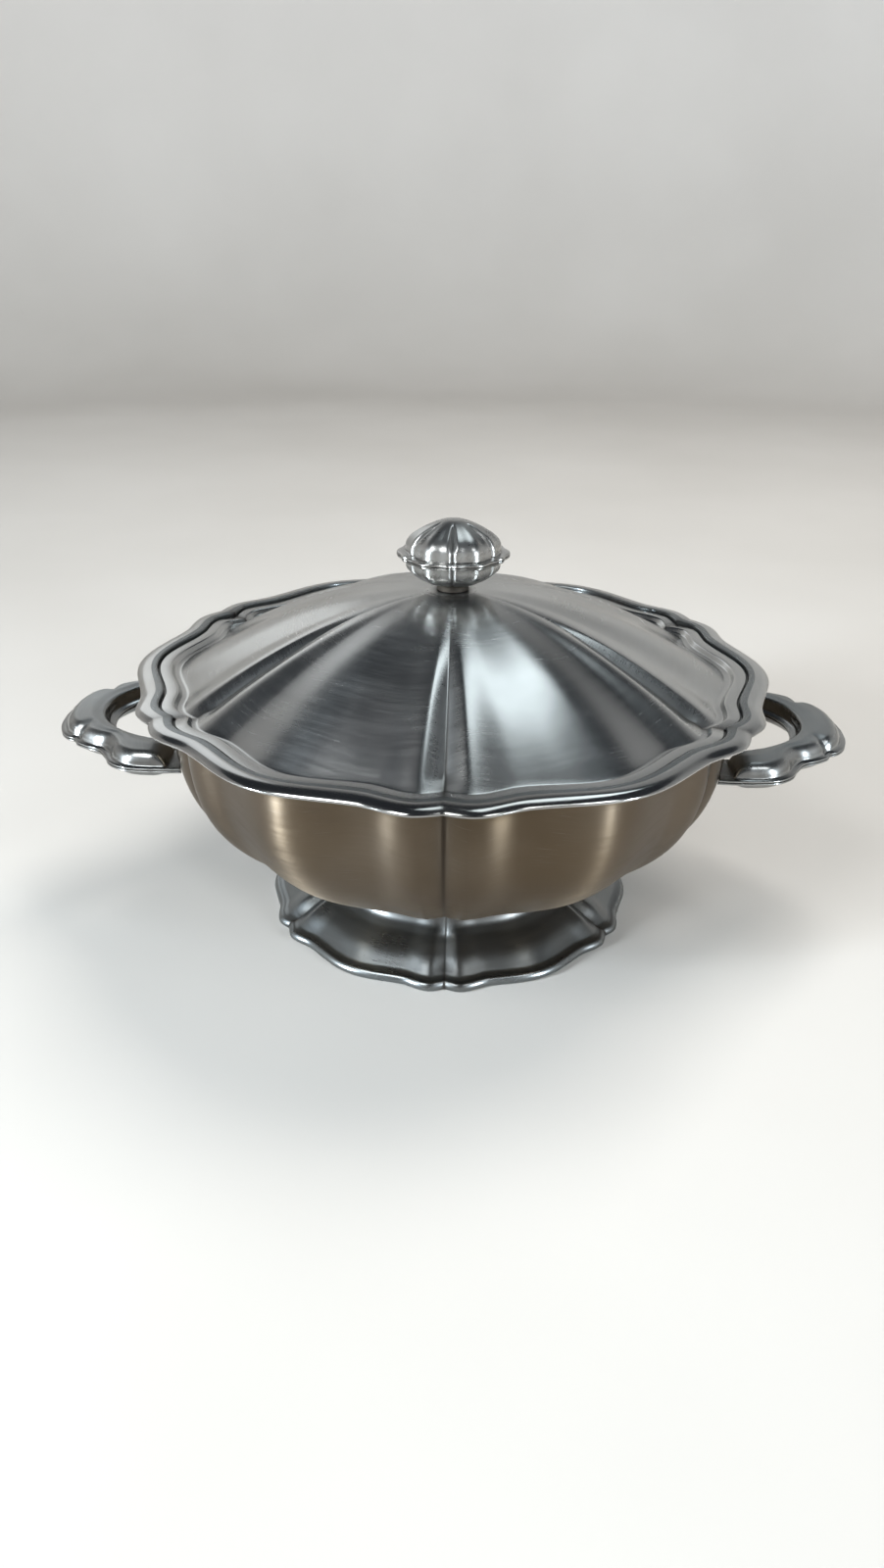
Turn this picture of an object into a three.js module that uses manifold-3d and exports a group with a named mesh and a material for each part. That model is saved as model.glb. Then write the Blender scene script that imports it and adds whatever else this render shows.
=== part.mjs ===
// Lidded soup tureen in pressed stainless steel: a six-lobed bowl on a flared foot, two hollow
// loop handles, and a fluted lid with a hollow knob screwed to it.
// Millimetres, +Z up. The origin is on the table under the centre of the foot, +X runs to the
// right handle, and a flute of the bowl faces -Y.

import * as THREE from 'three';
import { ParametricGeometry } from 'three/addons/geometries/ParametricGeometry.js';
import { mergeVertices } from 'three/addons/utils/BufferGeometryUtils.js';
import Module from 'manifold-3d';

const wasm = await Module();
wasm.setup();

// ---- Driving dimensions ----

const SHEET = 1.0;              // thickness of the pressed steel
const GAP = 0.3;                // clearance between neighbouring pieces

const LOBES = 6;
const FIRST_FLUTE = -90;        // azimuth of the front flute, degrees
const CORNER_ANGLE = 4.5;       // from a flute to the bulge beside it, degrees
const VALLEY_ANGLE = 13.5;      // from a flute to the hollow beyond that bulge
const HALF_LOBE = 180 / LOBES;  // from a flute to the middle of a lobe

// Outlines: how far each feature stands out from the valley radius.
const SEAT_OUTLINE = { corner: 3.7, lobe: 4.8, notch: 2.9 };
const RIM_OUTLINE = { corner: 3.8, lobe: 4.2, notch: 2.1 };
const FOOT_OUTLINE = { corner: 2.6, lobe: 2.1, notch: 2.2 };
const KNOB_OUTLINE = { corner: 0.4, lobe: 1.2, notch: 1.0 };      // round the knob's seam
const KNOB_FACE_OUTLINE = { corner: 0.0, lobe: 1.0, notch: 1.3 }; // on the faces above and below it

const BOWL_RADIUS = 111.5;      // outside of the wall under the rim, in a valley
const BOWL_TOP = 103.4;         // where the wall starts to turn out to the seat
const BOWL_BOTTOM = 19.4;       // underside of the floor
const BOWL_SIDE_POWER = 2.82;   // superellipse powers of the wall's section
const BOWL_FLOOR_POWER = 2.26;
const LOBE_FADE = 2.6;          // how fast the lobes die out towards the floor
const WALL_STEPS = 7;

const SEAT_HEIGHT = 105.4;      // ledge that carries the lid
const SEAT_RADIUS = 115.8;      // riser round the ledge
const FLANGE_HEIGHT = 107.8;    // top of the rim
const LIP_START = 119.4;        // where the flat flange turns over
const LIP_RADIUS = 124.4;       // outermost point of the rim

const LID_RADIUS = 114.8;       // edge of the lid
const LID_EDGE_TOP = 106.7;
const LID_APEX = 139.0;
const LID_FLAT = 10;            // flat on top, under the knob
const DOME_RADIUS = 105.8;      // foot of the dome
const DOME_FOOT = 104.7;
const FLUTE_START = 38;         // radius where the lid's flutes begin to show
const FLUTE_FULL = 80;          // radius where they are at full depth
const FLUTE_DEPTH = 1.6;        // extra drop along a flute
const FLUTE_FADE = 4;           // height over which it runs out at the foot of the dome

const FOOT_RADIUS = 76.8;
const FOOT_LAND = 3.0;          // width of the flat that stands on the table
const LAND_INNER = FOOT_RADIUS - FOOT_LAND - SHEET;
const FOOT_NECK = 52;
// Flutes of the skirt: where they start outside the neck, the widths over which they grow and
// fade, their depth, and the rise of the ridges beside them.
const FOOT_FLUTE = { start: 1.6, growth: 5, fade: 6, depth: 1.3, ridge: 0.4 };

const KNOB_RADIUS = 21.2;       // seam of the knob
const KNOB_SEAM = 153.4;
const KNOB_TOP = 167.0;
const KNOB_BASE = 143.0;
const KNOB_PLAIN = 4;           // radius inside which the faces have no lobes
const KNOB_LOBED = 17;          // radius where the lobes are full
// Leaf-shaped flutes on the upper face: where they start, the width over which they grow, their
// depth, their half width in degrees, and the height over which they fade out above the seam.
const KNOB_FLUTE = { start: 4.5, growth: 8, depth: 1.3, halfAngle: 8, fade: 4 };
const COLLAR_RADIUS = 6.5;
const WASHER_RADIUS = 8.0;
const SCREW_RADIUS = 2.0;
const SCREW_HOLE = 2.3;

const HANDLE_SEAM = 80.0;       // underside of the upper shell's flange
const HANDLE_RISE = 6.2;        // height of the upper shell above the seam
const HANDLE_DROP = 4.5;        // depth of the lower shell below it
const HANDLE_SHEET = 0.8;
const HANDLE_FLANGE = 2.2;      // width of the seam flange outside the loop
const HANDLE_LEDGE = 2.6;       // width of the seam flange inside the loop
const HANDLE_SHOULDER = 4.4;    // rounding from the flange up to the top, outside the loop
const HANDLE_LIP = 2.0;         // the same inside the loop
const HANDLE_END = 109.5;       // where the hollow part of the loop closes, before the bowl
const HANDLE_END_ROUND = 7;     // length over which it closes
const HANDLE_STATIONS = 28;     // sections along a loop

const STEEL = { color: 0xa9a7a3, metalness: 1.0 };
const SATIN = { ...STEEL, roughness: 0.38 };
const POLISHED = { ...STEEL, roughness: 0.18 };

// Columns round a lobed piece, in degrees from a flute: on each feature of the outline.
const HALF_COLUMNS = [0, CORNER_ANGLE, 9, VALLEY_ANGLE, 21, HALF_LOBE];
const BACK_COLUMNS = HALF_COLUMNS.slice(1, -1).reverse().map((angle) => 2 * HALF_LOBE - angle);
const COLUMNS = [...HALF_COLUMNS, ...BACK_COLUMNS];
const KNOB_COLUMNS = [0, CORNER_ANGLE, VALLEY_ANGLE, HALF_LOBE, 2 * HALF_LOBE - VALLEY_ANGLE,
  2 * HALF_LOBE - CORNER_ANGLE];

// ---- Solids ----

const radians = THREE.MathUtils.degToRad;

function ease(t) {
  return (1 - Math.cos(Math.PI * THREE.MathUtils.clamp(t, 0, 1))) / 2;
}

// Closed mesh to a manifold solid: shared vertices merged, and faces turned outwards.
function toSolid(geometry) {
  const source = geometry.index ? geometry.clone() : geometry;
  source.deleteAttribute('normal');
  source.deleteAttribute('uv');
  const merged = mergeVertices(source, 1e-4);
  const vertProperties = new Float32Array(merged.attributes.position.array);
  const triVerts = [];
  let volume = 0;
  const corner = [new THREE.Vector3(), new THREE.Vector3(), new THREE.Vector3()];
  for (let i = 0; i < merged.index.count; i += 3) {
    const ids = [0, 1, 2].map((k) => merged.index.getX(i + k));
    if (new Set(ids).size < 3) continue;
    ids.forEach((id, k) => corner[k].fromBufferAttribute(merged.attributes.position, id));
    volume += corner[0].dot(corner[1].clone().cross(corner[2]));
    triVerts.push(...ids);
  }
  if (volume < 0) triVerts.reverse();
  const mesh = new wasm.Mesh({ numProp: 3, vertProperties, triVerts: new Uint32Array(triVerts) });
  return new wasm.Manifold(mesh);
}

function toMesh(name, solid, look) {
  const { vertProperties, triVerts } = solid.getMesh();
  const geometry = new THREE.BufferGeometry();
  geometry.setAttribute('position', new THREE.BufferAttribute(vertProperties, 3));
  geometry.setIndex(new THREE.BufferAttribute(triVerts, 1));
  geometry.computeVertexNormals();
  const mesh = new THREE.Mesh(geometry, new THREE.MeshStandardMaterial(look));
  mesh.name = name;
  return mesh;
}

// ---- Lobed surfaces of revolution ----

// Angle from the nearest flute.
function fromFlute(angle) {
  const folded = angle % (2 * HALF_LOBE);
  return Math.min(folded, 2 * HALF_LOBE - folded);
}

// Height of a lobed outline above its valley, at an angle from a flute.
function outlineHeight({ corner, lobe, notch }, angle) {
  const phi = fromFlute(angle);
  if (phi > VALLEY_ANGLE) return lobe * ease((phi - VALLEY_ANGLE) / (HALF_LOBE - VALLEY_ANGLE));
  if (phi > CORNER_ANGLE) return corner * ease((VALLEY_ANGLE - phi) / (VALLEY_ANGLE - CORNER_ANGLE));
  return corner - notch * (1 - phi / CORNER_ANGLE) ** 1.5;
}

// One point of a profile: radius in a valley, height, and the outline that it carries.
function at(radius, height, outline = null, weight = 1) {
  return { radius, height, outline, weight };
}

// Solid of revolution whose columns are pushed in and out by each profile point's outline.
// A profile that starts off the axis closes on itself.
function lobedLathe(openProfile, columns = COLUMNS, drop = () => 0) {
  const profile = openProfile[0].radius > 0 ? [...openProfile, openProfile[0]] : openProfile;
  const segments = columns.length * LOBES;
  const points = profile.map(({ radius, height }) => new THREE.Vector2(radius, height));
  const geometry = new THREE.LatheGeometry(points, segments);
  const position = geometry.attributes.position;
  for (let i = 0; i <= segments; i++) {
    const lobeStart = Math.floor((i % segments) / columns.length) * 2 * HALF_LOBE;
    const angle = lobeStart + columns[i % columns.length];
    const azimuth = radians(FIRST_FLUTE + angle);
    profile.forEach(({ radius, height, outline, weight }, j) => {
      const push = outline ? weight * outlineHeight(outline, angle) : 0;
      const r = radius > 0 ? radius + push : 0;
      const z = height - drop(radius, height, angle);
      position.setXYZ(i * profile.length + j, r * Math.cos(azimuth), r * Math.sin(azimuth), z);
    });
  }
  return toSolid(geometry);
}

// Height of the bowl's wall over a radius: a superellipse, moved in by the inset.
function wallHeight(radius, inset = 0) {
  const reach = THREE.MathUtils.clamp(radius / (BOWL_RADIUS - inset), 0, 1);
  const depth = BOWL_TOP - BOWL_BOTTOM - inset;
  return BOWL_TOP - depth * (1 - reach ** BOWL_FLOOR_POWER) ** (1 / BOWL_SIDE_POWER);
}

// The lobes die out towards the floor, but the flutes stay sharp down to the foot.
function wallPoint(radius, height) {
  const reach = radius / BOWL_RADIUS;
  const fade = reach ** LOBE_FADE;
  const { corner, lobe, notch } = SEAT_OUTLINE;
  return at(radius, height, { corner: corner * fade, lobe: lobe * fade, notch: notch * reach });
}

// The wall's section from the axis up to its top.
function wallProfile(inset) {
  const profile = [at(0, wallHeight(0, inset))];
  for (let i = 1; i <= WALL_STEPS; i++) {
    const turn = Math.sin(radians(90 * i / WALL_STEPS));
    const radius = (BOWL_RADIUS - inset) * turn ** (2 / BOWL_FLOOR_POWER);
    profile.push(wallPoint(radius, wallHeight(radius, inset)));
  }
  return profile;
}

// Everything inside the bowl's outer wall, grown by the gap: what the handles stop at.
function bowlKeepOut() {
  return lobedLathe([...wallProfile(-GAP), at(0, BOWL_TOP)]);
}

// ---- Bowl and foot ----

function bowl() {
  const flangeUnder = FLANGE_HEIGHT - SHEET;
  return lobedLathe([
    ...wallProfile(0),
    at(BOWL_RADIUS + 0.8, SEAT_HEIGHT - SHEET, SEAT_OUTLINE),
    at(SEAT_RADIUS + SHEET, SEAT_HEIGHT - SHEET, SEAT_OUTLINE),
    at(SEAT_RADIUS + SHEET, flangeUnder, SEAT_OUTLINE),
    at(LIP_START + 1.2, flangeUnder, RIM_OUTLINE),
    at(LIP_RADIUS - 2.0, FLANGE_HEIGHT - 2.5, RIM_OUTLINE),
    at(LIP_RADIUS - 0.6, FLANGE_HEIGHT - 2.7, RIM_OUTLINE),
    at(LIP_RADIUS, FLANGE_HEIGHT - 1.9, RIM_OUTLINE),
    at(LIP_RADIUS - 1.0, FLANGE_HEIGHT - 0.8, RIM_OUTLINE),
    at(LIP_RADIUS - 2.8, FLANGE_HEIGHT - 0.2, RIM_OUTLINE),
    at(LIP_START, FLANGE_HEIGHT, RIM_OUTLINE),
    at(SEAT_RADIUS + 0.4, FLANGE_HEIGHT, SEAT_OUTLINE),
    at(SEAT_RADIUS, FLANGE_HEIGHT - 0.5, SEAT_OUTLINE),
    at(SEAT_RADIUS, SEAT_HEIGHT, SEAT_OUTLINE),
    at(BOWL_RADIUS - 0.2, SEAT_HEIGHT, SEAT_OUTLINE),
    ...wallProfile(SHEET).reverse(),
  ]);
}

// Drop of the foot's skirt along its flutes, between ridges that rise a little.
function footDrop(radius, height, angle) {
  const phi = fromFlute(angle);
  const grown = ease((radius - FOOT_NECK - FOOT_FLUTE.start) / FOOT_FLUTE.growth);
  const fading = ease((LAND_INNER - radius) / FOOT_FLUTE.fade);
  const groove = Math.max(1 - phi / CORNER_ANGLE, 0) ** 1.3;
  const ridge = phi > 0 ? ease((VALLEY_ANGLE - phi) / (VALLEY_ANGLE - CORNER_ANGLE)) : 0;
  return grown * fading * (FOOT_FLUTE.depth * groove - FOOT_FLUTE.ridge * ridge);
}

// Flared skirt with a rolled lip. Its top lies against the underside of the bowl.
function foot() {
  const seatInner = FOOT_NECK - 9;
  const seatOuter = FOOT_NECK + 0.4;
  const seat = (radius, depth) => wallPoint(radius, wallHeight(radius) - GAP - depth);
  const skirt = (radius, height) => {
    const spread = (radius - FOOT_NECK) / (FOOT_RADIUS - FOOT_NECK);
    return at(radius, height, FOOT_OUTLINE, THREE.MathUtils.clamp(0.3 + 0.8 * spread, 0, 1));
  };
  return lobedLathe([
    seat(seatInner, SHEET),
    seat(FOOT_NECK - 1.0, SHEET),
    skirt(FOOT_NECK + 1.4, 16.4),
    skirt(FOOT_NECK + 4.9, 12.9),
    skirt(FOOT_NECK + 9.5, 10.5),
    skirt(FOOT_NECK + 13.9, 8.0),
    skirt(FOOT_NECK + 18.0, 4.8),
    skirt(LAND_INNER, SHEET),
    skirt(LAND_INNER, 0),
    skirt(FOOT_RADIUS - SHEET, 0),
    skirt(FOOT_RADIUS, 1.6),
    skirt(FOOT_RADIUS - 1.4, 3.6),
    skirt(FOOT_RADIUS - 2.9, 3.8),
    skirt(FOOT_NECK + 18.8, 5.5),
    skirt(FOOT_NECK + 14.5, 8.9),
    skirt(FOOT_NECK + 10.0, 11.5),
    skirt(FOOT_NECK + 5.5, 13.9),
    skirt(FOOT_NECK + 2.2, 17.0),
    seat(seatOuter, 0),
    seat(seatInner, 0),
  ], COLUMNS, footDrop);
}

// ---- Lid ----

function domeHeight(radius) {
  const reach = (radius - LID_FLAT) / (DOME_RADIUS - LID_FLAT);
  return LID_APEX - (LID_APEX - DOME_FOOT) * Math.max(reach, 0) ** 1.75;
}

// Extra drop along the lid's flutes: nothing on top, deepest near the foot of the dome.
function fluteDrop(radius, height, angle) {
  const phi = fromFlute(angle);
  const along = ease((radius - FLUTE_START) / (FLUTE_FULL - FLUTE_START));
  const fadeOut = ease((height - DOME_FOOT) / FLUTE_FADE);
  const across = Math.max(1 - phi / CORNER_ANGLE, 0) ** 1.3;
  return FLUTE_DEPTH * along * fadeOut * across;
}

function lid() {
  const domeRadii = [LID_FLAT, 28, 45, 61, 76, 92, DOME_RADIUS];
  const dome = (offset) => domeRadii.map((radius) => {
    const weight = (radius / DOME_RADIUS) ** 1.2;
    return at(radius, domeHeight(radius) - offset, SEAT_OUTLINE, weight);
  });
  const bandInner = LID_RADIUS - 4.6;
  return lobedLathe([
    at(SCREW_HOLE, LID_APEX),
    ...dome(0),
    at(DOME_RADIUS + 0.9, DOME_FOOT - 0.4, SEAT_OUTLINE),
    at(bandInner - 1.4, DOME_FOOT - 0.2, SEAT_OUTLINE),
    at(bandInner, LID_EDGE_TOP - 0.3, SEAT_OUTLINE),
    at(bandInner + 0.6, LID_EDGE_TOP, SEAT_OUTLINE),
    at(LID_RADIUS, LID_EDGE_TOP, SEAT_OUTLINE),
    at(LID_RADIUS, LID_EDGE_TOP - SHEET, SEAT_OUTLINE),
    at(bandInner, LID_EDGE_TOP - SHEET, SEAT_OUTLINE),
    at(bandInner - 1.0, DOME_FOOT - 1.1, SEAT_OUTLINE),
    at(DOME_RADIUS + 0.2, DOME_FOOT - 1.4, SEAT_OUTLINE),
    ...dome(SHEET * 1.1).reverse(),
    at(SCREW_HOLE, LID_APEX - SHEET * 1.1),
  ], COLUMNS, fluteDrop);
}

// ---- Knob ----

// Point of the knob's faces: plain at the top and at the base, fluted towards the seam.
function facePoint(radius, height) {
  const weight = ease((radius - KNOB_PLAIN) / (KNOB_LOBED - KNOB_PLAIN));
  return at(radius, height, KNOB_FACE_OUTLINE, weight);
}

// Drop of the knob's upper face along its flutes.
function knobDrop(radius, height, angle) {
  const grown = ease((radius - KNOB_FLUTE.start) / KNOB_FLUTE.growth);
  const fading = ease((height - KNOB_SEAM) / KNOB_FLUTE.fade - 1);
  const across = Math.max(1 - fromFlute(angle) / KNOB_FLUTE.halfAngle, 0);
  return KNOB_FLUTE.depth * grown * fading * across;
}

// Edge where the knob's shells meet: a thin flange on each, away from the seam in a direction.
function seamFlange(seam, direction) {
  return [
    at(KNOB_RADIUS - 0.6, seam + direction, KNOB_OUTLINE),
    at(KNOB_RADIUS, seam + 0.5 * direction, KNOB_OUTLINE),
    at(KNOB_RADIUS - 0.3, seam, KNOB_OUTLINE),
  ];
}

function knobUpperShell() {
  const under = KNOB_SEAM + GAP / 2;
  return lobedLathe([
    at(0, KNOB_TOP),
    facePoint(6.5, KNOB_TOP - 1.2),
    facePoint(10, KNOB_TOP - 2.7),
    facePoint(13.7, KNOB_TOP - 4.8),
    facePoint(16.1, KNOB_TOP - 6.8),
    facePoint(17.5, KNOB_TOP - 9.0),
    facePoint(18.0, under + 1.4),
    ...seamFlange(under, 1),
    facePoint(17.1, under),
    facePoint(16.4, KNOB_TOP - 9.4),
    facePoint(15.1, KNOB_TOP - 7.5),
    facePoint(13.0, KNOB_TOP - 5.8),
    facePoint(9.5, KNOB_TOP - 3.7),
    facePoint(6.2, KNOB_TOP - 2.2),
    at(0, KNOB_TOP - 1.1),
  ], KNOB_COLUMNS, knobDrop);
}

function knobLowerShell() {
  const top = KNOB_SEAM - GAP / 2;
  return lobedLathe([
    at(SCREW_HOLE, KNOB_BASE),
    facePoint(9.0, KNOB_BASE),
    facePoint(14.4, KNOB_BASE + 1.9),
    facePoint(17.3, KNOB_BASE + 4.6),
    facePoint(18.0, top - 1.2),
    ...seamFlange(top, -1),
    facePoint(17.1, top),
    facePoint(16.3, KNOB_BASE + 5.0),
    facePoint(13.8, KNOB_BASE + 2.9),
    facePoint(8.6, KNOB_BASE + SHEET),
    at(SCREW_HOLE, KNOB_BASE + SHEET),
  ], KNOB_COLUMNS);
}

// Round piece with a hole through it, or none, from a profile of radius and height pairs.
function turned(pairs, segments = 24) {
  const geometry = new THREE.LatheGeometry(pairs.map(([r, z]) => new THREE.Vector2(r, z)), segments);
  return toSolid(geometry.rotateX(Math.PI / 2));
}

function ring(inner, outer, bottom, top, segments = 24) {
  return turned([[inner, bottom], [outer, bottom], [outer, top], [inner, top], [inner, bottom]], segments);
}

function knobCollar() {
  const bottom = LID_APEX + GAP;
  const top = KNOB_BASE - GAP;
  const waist = (bottom + top) / 2;
  return turned([
    [SCREW_HOLE, bottom], [COLLAR_RADIUS, bottom], [COLLAR_RADIUS - 0.6, waist],
    [COLLAR_RADIUS, top], [SCREW_HOLE, top], [SCREW_HOLE, bottom],
  ]);
}

const WASHER_TOP = LID_APEX - SHEET * 1.1 - GAP;
const WASHER_THICKNESS = 1.0;
const HEAD_TOP = WASHER_TOP - WASHER_THICKNESS - GAP;
const HEAD_HEIGHT = 2.4;
const HEAD_RADIUS = 4.0;

function knobWasher() {
  return ring(SCREW_HOLE, WASHER_RADIUS, WASHER_TOP - WASHER_THICKNESS, WASHER_TOP);
}

// Pan-head screw from inside the lid, with a straight slot.
function knobScrew() {
  const headBottom = HEAD_TOP - HEAD_HEIGHT;
  const tip = KNOB_BASE + 7;
  const body = turned([
    [0, headBottom], [HEAD_RADIUS - 1.2, headBottom], [HEAD_RADIUS, headBottom + 1.2],
    [HEAD_RADIUS, HEAD_TOP], [SCREW_RADIUS, HEAD_TOP], [SCREW_RADIUS, tip - 0.5],
    [SCREW_RADIUS - 0.5, tip], [0, tip],
  ], 18);
  const slot = new THREE.BoxGeometry(2 * HEAD_RADIUS + 1, 1.0, 2.4);
  return body.subtract(toSolid(slot.translate(0, 0, headBottom)));
}

function knobNut() {
  const bottom = KNOB_BASE + SHEET + GAP;
  return ring(SCREW_HOLE, 4.1, bottom, bottom + 3.2, 6);
}

// ---- Handles ----

// Half of the loop's outer edge in plan, from the tip to the root inside the bowl's wall:
// a tip lobe, a groove, a second lobe, a hollow shoulder and the root lobe.
const LOOP_OUTER = new THREE.CatmullRomCurve3([
  [163.5, 0], [162.6, 9], [160, 16.5], [156.4, 21], [152.8, 23], [150.6, 26.4], [145.5, 29.8],
  [140, 32.6], [136, 37.8], [132.5, 43.8], [126, 48.2], [118, 49.4], [113.5, 49.4], [109.5, 49.4],
  [99, 49],
].map(([x, y]) => new THREE.Vector3(x, y, 0)), false, 'centripetal');

// Inner edge: half an ellipse over the arc share of its length, then straight into the wall.
const FINGER_HOLE = { centre: 104, reach: 37.4, half: 30.5, arcShare: 0.86, rootLength: 6 };

// Groove between the tip and side lobes, which runs in from the outer edge.
const GROOVE = { x: 152.8, y: 23, width: 5, length: 9, depth: 2.2 };

function loopInner(t) {
  const { centre, reach, half, arcShare, rootLength } = FINGER_HOLE;
  const turn = Math.min(t / arcShare, 1) * Math.PI / 2;
  const run = Math.max(t - arcShare, 0) / (1 - arcShare);
  return new THREE.Vector3(centre + reach * Math.cos(turn) - rootLength * run, half * Math.sin(turn), 0);
}

// Section of a pressed shell across the loop, as points { across, height, skin }. Distances
// run in from the outer edge, and negative ones back from the inner edge. `skin` is the part of
// the height that belongs to the hollow and closes up at the ends of the loop.
function shellSection(rise) {
  const flat = (across, height) => ({ across, height, skin: 0 });
  const arch = (lift, floor) => {
    const points = [];
    for (const turn of [26, 56, 90]) {
      const x = HANDLE_FLANGE + HANDLE_SHOULDER - (HANDLE_SHOULDER - lift) * Math.cos(radians(turn));
      points.push({ across: x, height: floor, skin: (rise - lift) * Math.sin(radians(turn)) - floor });
    }
    for (const turn of [90, 40]) {
      const x = HANDLE_LEDGE + HANDLE_LIP - (HANDLE_LIP - lift) * Math.cos(radians(turn));
      points.push({ across: -x, height: floor, skin: (rise - lift) * Math.sin(radians(turn)) - floor });
    }
    return points;
  };
  const innerEdge = -1e-3;   // just short of zero, which would be the outer edge
  return [
    flat(0, 0), flat(0, HANDLE_SHEET), flat(HANDLE_FLANGE - 0.2, HANDLE_SHEET),
    ...arch(0, HANDLE_SHEET),
    flat(-HANDLE_LEDGE + 0.2, HANDLE_SHEET), flat(innerEdge, HANDLE_SHEET), flat(innerEdge, 0),
    flat(-HANDLE_LEDGE - HANDLE_SHEET, 0),
    ...arch(HANDLE_SHEET, 0).reverse(),
    flat(HANDLE_FLANGE + HANDLE_SHEET, 0),
  ];
}

// How far the hollow of a loop stands open: closed at the end, rounding up to full height.
function fullness(x) {
  const reach = THREE.MathUtils.clamp((x - HANDLE_END) / HANDLE_END_ROUND, 0, 1);
  return Math.sqrt(1 - (1 - reach) ** 2);
}

// One shell of a loop handle: the section carried from the front root round to the back root,
// with one more station at each end where the section shrinks to a point and closes the solid.
function handleShell(rise, seam, upDown, keepOut) {
  const section = shellSection(rise);
  const spans = HANDLE_STATIONS + 2;
  const surface = (v, u, target) => {
    const index = Math.round(u * spans);
    const isEnd = index === 0 || index === spans;
    const station = THREE.MathUtils.clamp(index - 1, 0, HANDLE_STATIONS);
    const t = Math.abs(2 * station / HANDLE_STATIONS - 1);
    const side = station < HANDLE_STATIONS / 2 ? -1 : 1;
    const outer = LOOP_OUTER.getPoint(t);
    const inner = loopInner(t);
    const width = outer.distanceTo(inner);
    const { across, height, skin } = section[Math.round(v * section.length) % section.length];
    const distance = across < 0 ? width + across : across;
    const point = outer.clone().lerp(inner, isEnd ? 0.5 : distance / width);
    const nearGroove = 1 - ease(Math.hypot(outer.x - GROOVE.x, outer.y - GROOVE.y) / GROOVE.width);
    const nearEdge = 1 - ease(distance / GROOVE.length);
    const open = fullness(point.x) * (1 - nearGroove * nearEdge * GROOVE.depth / rise);
    const z = isEnd ? HANDLE_SHEET / 2 : height + skin * open;
    target.set(point.x, side * point.y, seam + upDown * z);
  };
  const geometry = new ParametricGeometry(surface, section.length, spans);
  return toSolid(geometry).subtract(keepOut);
}

function addHandle(group, side, keepOut) {
  const upper = handleShell(HANDLE_RISE, HANDLE_SEAM, 1, keepOut);
  const lower = handleShell(HANDLE_DROP, HANDLE_SEAM - GAP, -1, keepOut);
  group.add(toMesh(`handle_${side}_upper_shell`, upper, POLISHED));
  group.add(toMesh(`handle_${side}_lower_shell`, lower, POLISHED));
}

// ---- Assembly ----

const tureen = new THREE.Group();
const keepOut = bowlKeepOut();

tureen.add(toMesh('bowl', bowl(), SATIN));
tureen.add(toMesh('foot', foot(), POLISHED));

const rightHandle = new THREE.Group();
addHandle(rightHandle, 'right', keepOut);
tureen.add(rightHandle);

const leftHandle = new THREE.Group();
leftHandle.rotation.z = Math.PI;
addHandle(leftHandle, 'left', keepOut);
tureen.add(leftHandle);

const lidGroup = new THREE.Group();
lidGroup.add(toMesh('lid', lid(), SATIN));
lidGroup.add(toMesh('knob_collar', knobCollar(), POLISHED));
lidGroup.add(toMesh('knob_lower_shell', knobLowerShell(), POLISHED));
lidGroup.add(toMesh('knob_upper_shell', knobUpperShell(), POLISHED));
lidGroup.add(toMesh('knob_washer', knobWasher(), SATIN));
lidGroup.add(toMesh('knob_screw', knobScrew(), SATIN));
lidGroup.add(toMesh('knob_nut', knobNut(), SATIN));
tureen.add(lidGroup);

export default tureen;
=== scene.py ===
import math

import bpy
import numpy as np
from mathutils import Matrix, Vector


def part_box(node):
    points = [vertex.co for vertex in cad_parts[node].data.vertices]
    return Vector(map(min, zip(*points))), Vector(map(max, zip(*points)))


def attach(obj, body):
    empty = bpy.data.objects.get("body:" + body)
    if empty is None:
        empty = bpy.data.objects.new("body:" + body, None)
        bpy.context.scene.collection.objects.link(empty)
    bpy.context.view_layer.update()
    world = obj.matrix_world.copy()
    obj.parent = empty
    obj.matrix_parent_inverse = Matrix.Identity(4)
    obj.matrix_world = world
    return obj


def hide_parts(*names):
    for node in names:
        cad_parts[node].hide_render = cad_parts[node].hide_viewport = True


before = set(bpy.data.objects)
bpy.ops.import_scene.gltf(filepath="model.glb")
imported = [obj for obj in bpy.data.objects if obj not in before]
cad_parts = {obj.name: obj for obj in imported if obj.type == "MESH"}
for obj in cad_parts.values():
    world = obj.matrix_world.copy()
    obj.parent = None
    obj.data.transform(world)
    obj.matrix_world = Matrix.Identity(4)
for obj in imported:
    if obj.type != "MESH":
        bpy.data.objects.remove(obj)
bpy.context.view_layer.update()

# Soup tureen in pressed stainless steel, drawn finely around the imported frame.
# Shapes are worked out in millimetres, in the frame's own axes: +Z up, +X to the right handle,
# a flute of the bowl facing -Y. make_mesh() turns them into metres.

MM = 0.001
ON_AXIS = 1e-6


def box_mm(node):
    """Lowest and highest corners of a node of the frame, in millimetres."""
    low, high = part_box(node)
    return np.array(low) / MM, np.array(high) / MM


# ---- Driving sizes: read from the frame, or named here ----

BOWL_LOW, BOWL_HIGH = box_mm("bowl")
LID_LOW, LID_HIGH = box_mm("lid")
FOOT_HIGH = box_mm("foot")[1]
UPPER_LOW, UPPER_HIGH = box_mm("knob_upper_shell")
LOWER_LOW, LOWER_HIGH = box_mm("knob_lower_shell")
COLLAR_LOW, COLLAR_HIGH = box_mm("knob_collar")
WASHER_LOW, WASHER_HIGH = box_mm("knob_washer")
SCREW_LOW, SCREW_HIGH = box_mm("knob_screw")
NUT_LOW, NUT_HIGH = box_mm("knob_nut")
LOOP_LOW, LOOP_HIGH = box_mm("handle_right_upper_shell")
CUP_LOW, CUP_HIGH = box_mm("handle_right_lower_shell")

SHEET = 1.0
GAP = 0.3

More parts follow.
